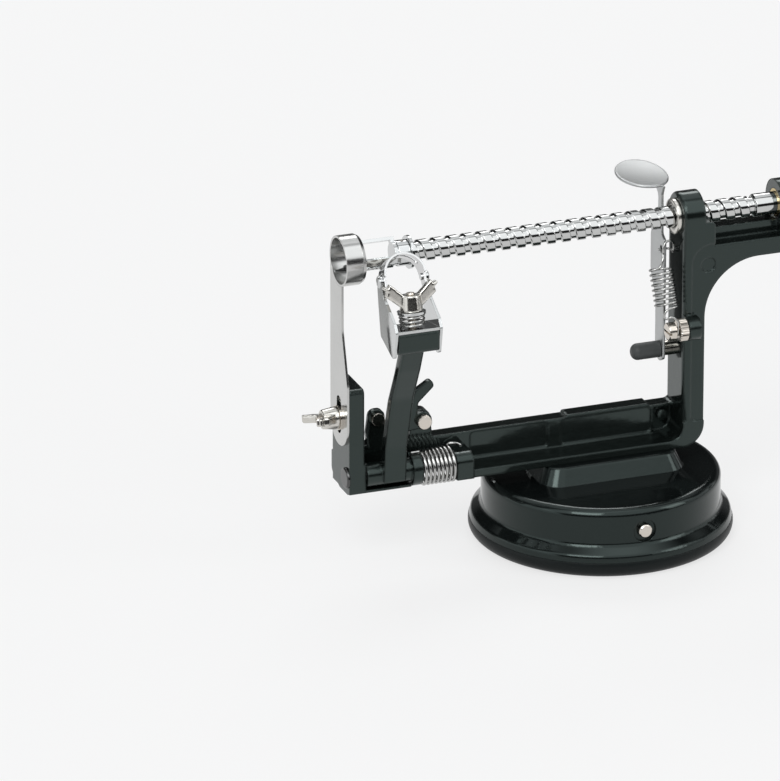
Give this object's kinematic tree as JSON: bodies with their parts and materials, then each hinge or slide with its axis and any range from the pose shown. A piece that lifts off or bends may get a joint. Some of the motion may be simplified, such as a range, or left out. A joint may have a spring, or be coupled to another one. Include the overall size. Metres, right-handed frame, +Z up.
{
  "type": "apple peeler",
  "caption": "Hand cranked apple peeler on a suction base: screw-fed fork, sprung peel arm, slicing blade with coring ring, release lever",
  "frame": {"origin": "centre of the flat underside of the rubber foot ring", "axes": "+Z up, +X along the screw spindle towards the crank, -Y the front with the peel arm"},
  "size_m": [0.3316, 0.1173, 0.1564],
  "materials": {
    "anchor_collar": "zinc or nickel plated",
    "anchor_screw": "zinc or nickel plated",
    "arm_latch": "black gloss enamel",
    "arm_spring": "zinc or nickel plated",
    "base_housing": "gloss enamel",
    "blade_rivets": "zinc or nickel plated",
    "cam_shaft": "zinc or nickel plated",
    "clamp_bolt": "zinc or nickel plated",
    "clamp_washer": "zinc or nickel plated",
    "clamp_wing_nut": "nickel plated casting",
    "coring_ring": "stainless",
    "crank_arm": "plated",
    "crank_nut": "plated",
    "crank_washer": "zinc or nickel plated",
    "draw_plate": "zinc or nickel plated",
    "draw_yoke": "zinc or nickel plated",
    "eccentric_cam": "zinc or nickel plated",
    "foot_ring": "matt",
    "fork": "plated",
    "fork_collar": "plated",
    "fork_pin": "zinc or nickel plated",
    "frame": "black gloss enamel",
    "frame_screws": "zinc or nickel plated",
    "front_bush": "nickel plated",
    "handle_grip": "black lacquer",
    "handle_rod": "zinc or nickel plated",
    "head_bracket": "plated",
    "head_spring": "zinc or nickel plated",
    "head_stud": "zinc or nickel plated",
    "head_washer": "zinc or nickel plated",
    "head_wing_nut": "nickel plated casting",
    "latch_pin": "zinc or nickel plated",
    "lever_cap": "matt",
    "lever_pin": "zinc or nickel plated",
    "lever_spacer": "zinc or nickel plated",
    "lever_stud": "zinc or nickel plated",
    "peel_arm": "black gloss enamel",
    "peeling_blade": "stainless",
    "pivot_rod": "zinc or nickel plated",
    "rear_bush": "turned",
    "release_lever": "plated",
    "release_spring": "zinc or nickel plated",
    "slicing_blade": "stainless",
    "spindle": "plated",
    "stop_screw": "zinc or nickel plated",
    "suction_disc": "matt",
    "suction_lever": "gloss enamel",
    "thrust_washer": "plated"
  },
  "bodies": {
    "frame_body": {"anchor_collar": "anchor_collar", "anchor_screw": "anchor_screw", "arm_spring": "arm_spring", "base_housing": "base_housing", "clamp_bolt": "clamp_bolt", "clamp_washer": "clamp_washer", "foot_ring": "foot_ring", "frame": "frame", "frame_screws": "frame_screws", "front_bush": "front_bush", "latch_pin": "latch_pin", "lever_cap": "lever_cap", "lever_spacer": "lever_spacer", "lever_stud": "lever_stud", "pivot_rod": "pivot_rod", "rear_bush": "rear_bush", "release_spring": "release_spring"},
    "suction_lever_body": {"cam_shaft": "cam_shaft", "eccentric_cam": "eccentric_cam", "suction_lever": "suction_lever", "lever_pin": "lever_pin"},
    "suction_lift_body": {"draw_yoke": "draw_yoke", "draw_plate": "draw_plate", "suction_disc": "suction_disc"},
    "feed_body": {"thrust_washer": "thrust_washer"},
    "spindle_body": {"spindle": "spindle", "fork_collar": "fork_collar", "fork": "fork", "fork_pin": "fork_pin", "crank_arm": "crank_arm", "crank_nut": "crank_nut", "crank_washer": "crank_washer", "handle_rod": "handle_rod"},
    "handle_body": {"handle_grip": "handle_grip"},
    "release_lever_body": {"release_lever": "release_lever"},
    "peel_arm_body": {"peel_arm": "peel_arm", "head_stud": "head_stud", "head_washer": "head_washer", "head_spring": "head_spring"},
    "peel_head_body": {"head_bracket": "head_bracket", "peeling_blade": "peeling_blade", "blade_rivets": "blade_rivets"},
    "head_nut_body": {"head_wing_nut": "head_wing_nut"},
    "latch_body": {"arm_latch": "arm_latch", "stop_screw": "stop_screw"},
    "blade_body": {"slicing_blade": "slicing_blade", "coring_ring": "coring_ring"},
    "clamp_nut_body": {"clamp_wing_nut": "clamp_wing_nut"}
  },
  "joints": [
    {"name": "suction_lever_turn", "type": "hinge", "parent": "frame_body", "child": "suction_lever_body", "pos_m": [0, 0, 0.0192], "axis": [0, -1, 0], "range_deg": [0, 80]},
    {"name": "suction_lift", "type": "slide", "parent": "frame_body", "child": "suction_lift_body", "axis": [0, 0, -1], "range_m": [0, 0.003]},
    {"name": "spindle_feed", "type": "slide", "parent": "frame_body", "child": "feed_body", "axis": [-1, 0, 0], "range_m": [-0.0905, 0.0252]},
    {"name": "spindle_turn", "type": "hinge", "parent": "feed_body", "child": "spindle_body", "pos_m": [0, 0, 0.1405], "axis": [-1, 0, 0], "range_deg": [-4695.7, 1304.3]},
    {"name": "handle_spin", "type": "hinge", "parent": "spindle_body", "child": "handle_body", "pos_m": [0.16, 0, 0.0555], "axis": [1, 0, 0], "continuous": true},
    {"name": "release_lever_press", "type": "hinge", "parent": "frame_body", "child": "release_lever_body", "pos_m": [0.0296, 0.0063, 0.0773], "axis": [-1, 0, 0], "range_deg": [0, 5], "stiffness_Nm_per_rad": 0.5, "springref_deg": -28.65, "deforming": ["release_spring"]},
    {"name": "peel_arm_swing", "type": "hinge", "parent": "frame_body", "child": "peel_arm_body", "pos_m": [-0.0999, -0.0068, 0.0435], "axis": [-1, 0, 0], "range_deg": [-38, 2], "stiffness_Nm_per_rad": 0.1, "springref_deg": 68.75, "deforming": ["arm_spring"]},
    {"name": "peel_depth", "type": "slide", "parent": "peel_arm_body", "child": "peel_head_body", "axis": [0, 0.1736, 0.9848], "range_m": [0, 0.0015], "stiffness_N_per_m": 400, "springref_m": -0.003, "deforming": ["head_spring"]},
    {"name": "head_nut_turn", "type": "hinge", "parent": "peel_arm_body", "child": "head_nut_body", "pos_m": [-0.09925, -0.0325, 0.1185], "axis": [0, 0.1736, 0.9848], "range_deg": [-10, 10]},
    {"name": "latch_swing", "type": "hinge", "parent": "frame_body", "child": "latch_body", "pos_m": [-0.0827, 0, 0.0625], "axis": [0, 1, 0], "range_deg": [0, 25]},
    {"name": "blade_height", "type": "slide", "parent": "frame_body", "child": "blade_body", "axis": [0, 0, 1], "range_m": [-0.0015, 0.0015]},
    {"name": "clamp_nut_turn", "type": "hinge", "parent": "frame_body", "child": "clamp_nut_body", "pos_m": [-0.125, 0, 0.069], "axis": [-1, 0, 0], "range_deg": [-90, 90]}
  ],
  "couplings": [
    {"joint": "suction_lever_turn", "follows": "suction_lift", "rad_per_m": 465.4},
    {"joint": "spindle_feed", "follows": "spindle_turn", "m_per_rad": 0.0010982}
  ]
}
